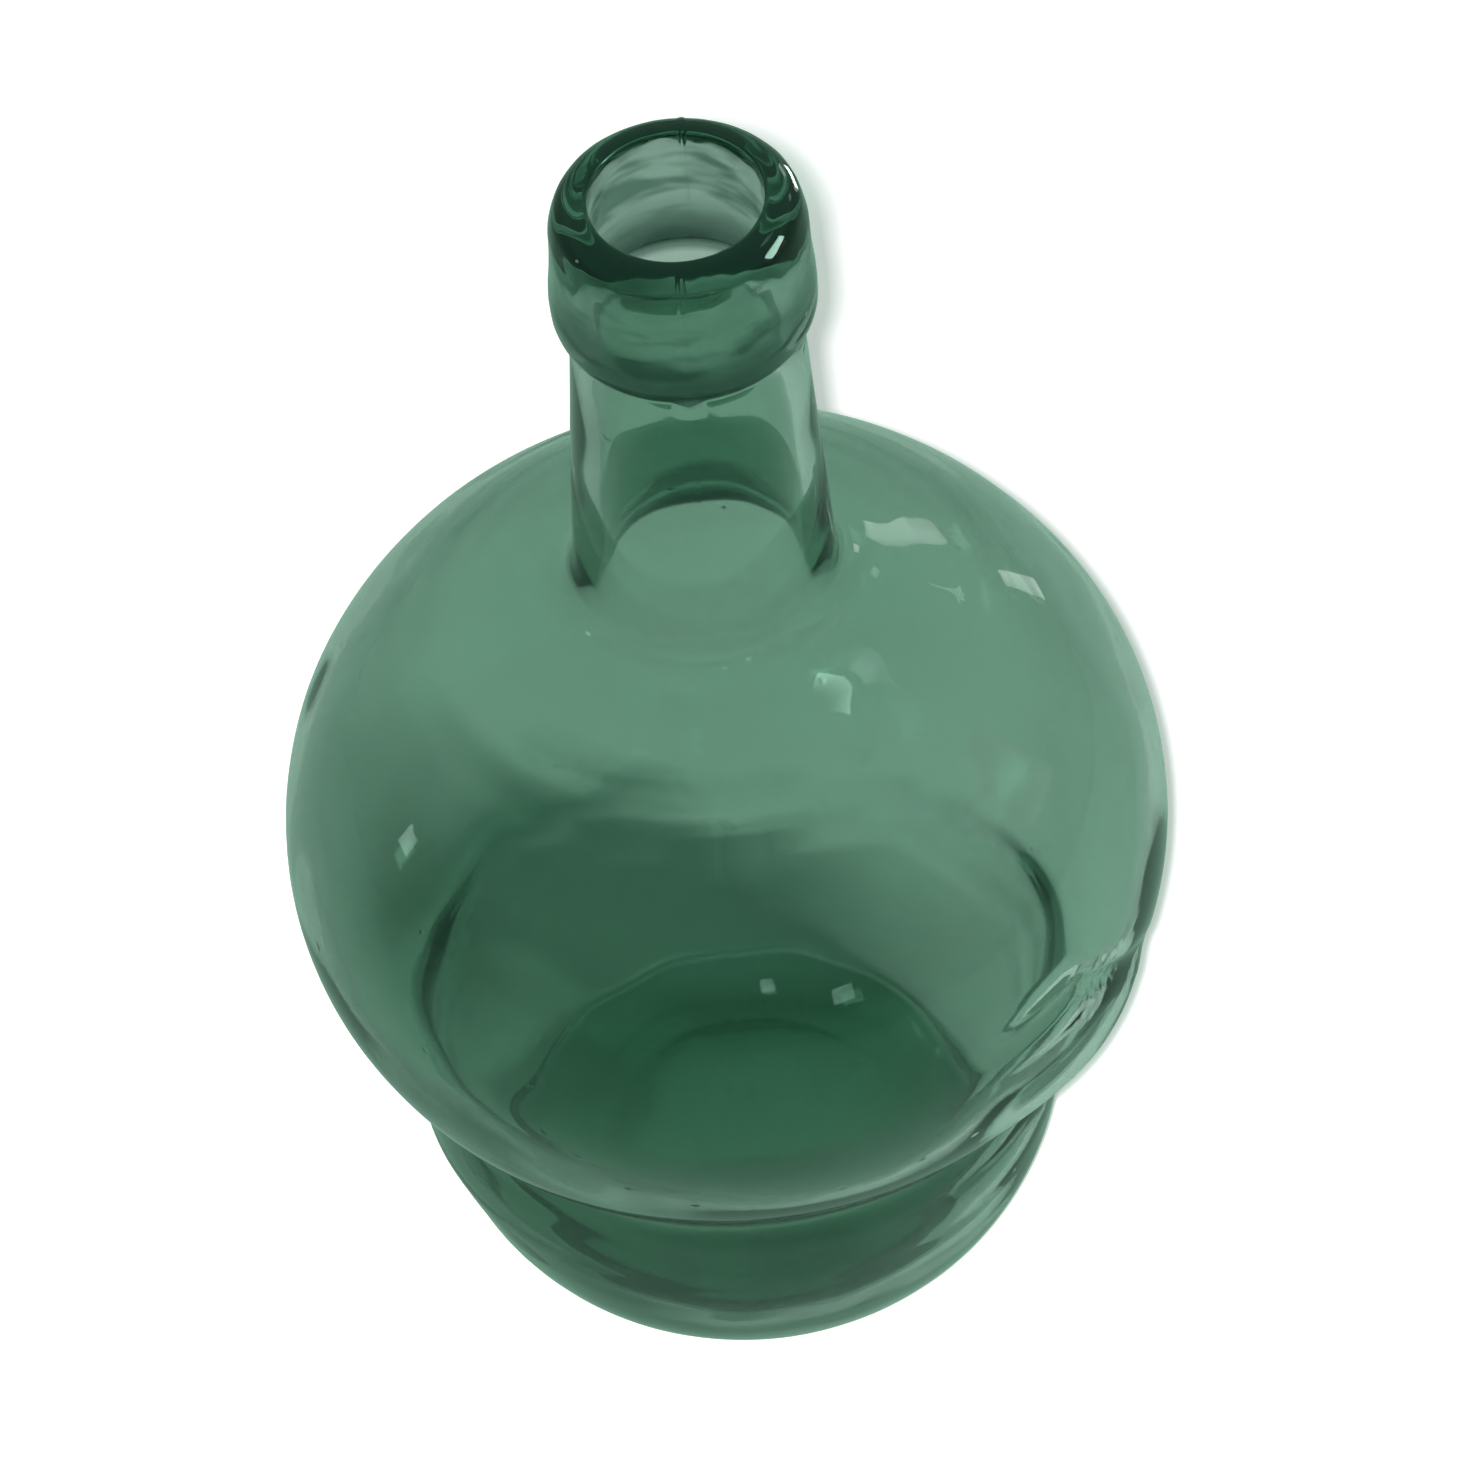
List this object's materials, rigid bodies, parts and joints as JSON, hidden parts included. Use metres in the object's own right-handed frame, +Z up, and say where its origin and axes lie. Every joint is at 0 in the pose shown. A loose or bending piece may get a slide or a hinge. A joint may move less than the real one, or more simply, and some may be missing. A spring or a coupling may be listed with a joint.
{
  "type": "demijohn",
  "caption": "Round-bellied green glass demijohn with a tall tapering neck, a thick ring round its open mouth and a straight foot with a pushed-up base.",
  "frame": {"origin": "the middle of the foot, on the surface that the bottle stands on", "axes": "+Z up along the bottle's axis, from the foot to the mouth; -Y is the side that the picture shows, and +X is to its right"},
  "size_m": [0.2164, 0.2164, 0.3525],
  "materials": {
    "vessel_glass": "smooth, hand-blown, blue-green, slightly wavy, with a few small bubbles",
    "ring_glass": "smooth, thick and so darker, with a faint mould seam down each side"
  },
  "bodies": {
    "root": {"vessel": "vessel_glass", "collar_ring": "ring_glass"}
  },
  "joints": []
}
